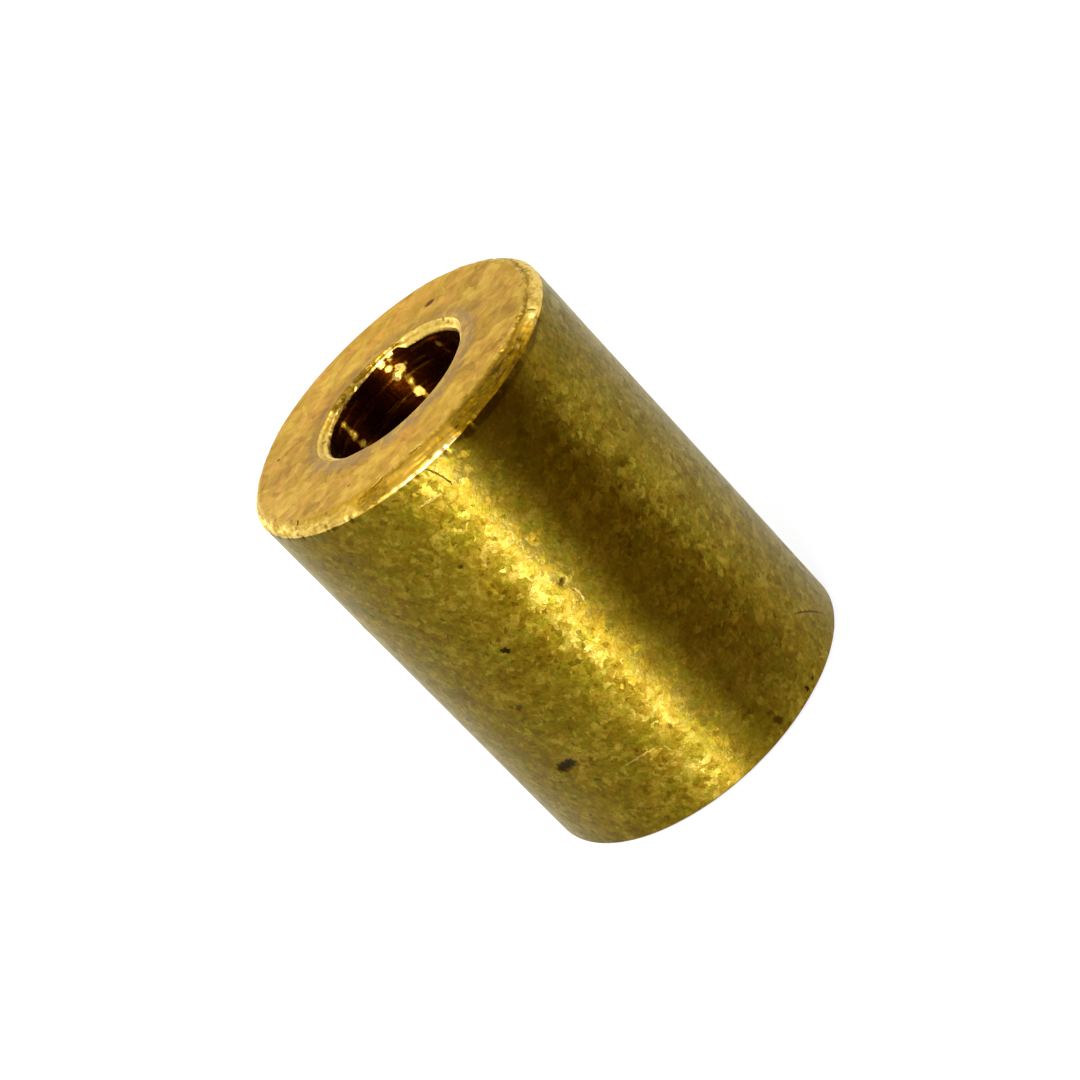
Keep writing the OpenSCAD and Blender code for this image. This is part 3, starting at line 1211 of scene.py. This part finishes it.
def add_world(context):
    """Soft light from all round. What the camera and the metal see of it is plain white."""
    world = bpy.data.worlds.new("Soft white room")
    context.scene.world = world
    world.use_nodes = True
    room = world.node_tree.nodes["Background"].inputs
    feed(room["Color"], WHITE)
    feed(room["Strength"], 1.0)


def add_lamp(context, name, turn, elevation, width, height, watts, colour):
    """A soft box that points at the middle of the spacer."""
    data = bpy.data.lights.new(name, "AREA")
    data.color = colour
    data.shape = "RECTANGLE"
    data.size, data.size_y = width, height
    data.energy = watts
    lamp = stage_object(context, name, data)
    away = direction(turn, elevation)
    lamp.location = away * LAMP_DISTANCE + Vector((0, 0, LENGTH / 2 * MM))
    lamp.rotation_euler = (-away).to_track_quat("-Z", "Y").to_euler()
    lamp.visible_camera = False


def add_dark_card(context):
    """A curved dark card beside the camera, with a foot on the floor. Only the metal sees it."""
    verts, faces = [], []
    for i in range(CARD_COLUMNS + 1):
        out = direction(CARD_FROM + (CARD_TO - CARD_FROM) * i / CARD_COLUMNS, 0)
        verts += [out * CARD_FOOT, out * CARD_WALL, out * CARD_WALL + Vector((0, 0, CARD_TOP))]
    for k in range(0, 3 * CARD_COLUMNS, 3):
        faces += [(k, k + 1, k + 4, k + 3), (k + 1, k + 2, k + 5, k + 4)]
    mesh = bpy.data.meshes.new("dark_card")
    mesh.from_pydata(verts, [], faces)
    card = stage_object(context, "dark_card", mesh)
    card.visible_camera = False
    card.visible_diffuse = False
    card.visible_transmission = False
    card.visible_shadow = False
    mesh.materials.append(new_material("Dark card", {"Base Color": CARD_BROWN, "Roughness": 1.0}))


def add_camera(context):
    """The camera, in front and a little above, rolled to one side."""
    data = bpy.data.cameras.new("Camera")
    data.lens = CAMERA_LENS
    data.sensor_width = SENSOR_WIDTH
    data.clip_start, data.clip_end = 0.001, 1
    camera = stage_object(context, "Camera", data)
    back = direction(0, math.degrees(CAMERA_ELEVATION))
    camera.location = CAMERA_AIM + back * CAMERA_DISTANCE
    upright = (-back).to_track_quat("-Z", "Y").to_matrix()
    camera.rotation_euler = (upright @ Matrix.Rotation(-CAMERA_ROLL, 3, "Z")).to_euler()
    context.scene.camera = camera


class SPACER_OT_stage(bpy.types.Operator):
    """Set out the pale floor, the soft light and the camera"""

    bl_idname = "spacer.stage"
    bl_label = "Stage"

    def execute(self, context):
        for name in ("Cube", "Light", "Camera"):
            if name in bpy.data.objects:
                bpy.data.objects.remove(bpy.data.objects[name])
        context.scene.view_settings.view_transform = "Standard"
        add_floor(context)
        add_world(context)
        for lamp in LAMPS:
            add_lamp(context, *lamp)
        add_dark_card(context)
        add_camera(context)
        return {"FINISHED"}


class SPACER_PT_sidebar(bpy.types.Panel):
    """The spacer's tools, in the order they are used"""

    bl_label = "Round spacer"
    bl_space_type = "VIEW_3D"
    bl_region_type = "UI"
    bl_category = "Spacer"

    def draw(self, context):
        for operator in (SPACER_OT_stage, SPACER_OT_turn):
            self.layout.operator(operator.bl_idname)


CLASSES = (SpacerShape, SpacerFinish, SPACER_OT_turn, SPACER_OT_stage, SPACER_PT_sidebar)


def register():
    for cls in CLASSES:
        bpy.utils.register_class(cls)
    bpy.types.Scene.spacer_shape = bpy.props.PointerProperty(type=SpacerShape)
    bpy.types.Scene.spacer_finish = bpy.props.PointerProperty(type=SpacerFinish)


def unregister():
    del bpy.types.Scene.spacer_finish
    del bpy.types.Scene.spacer_shape
    for cls in reversed(CLASSES):
        bpy.utils.unregister_class(cls)


def main():
    register()
    bpy.ops.spacer.stage()
    bpy.ops.spacer.turn()
    bpy.context.view_layer.update()


if __name__ == "__main__":
    main()
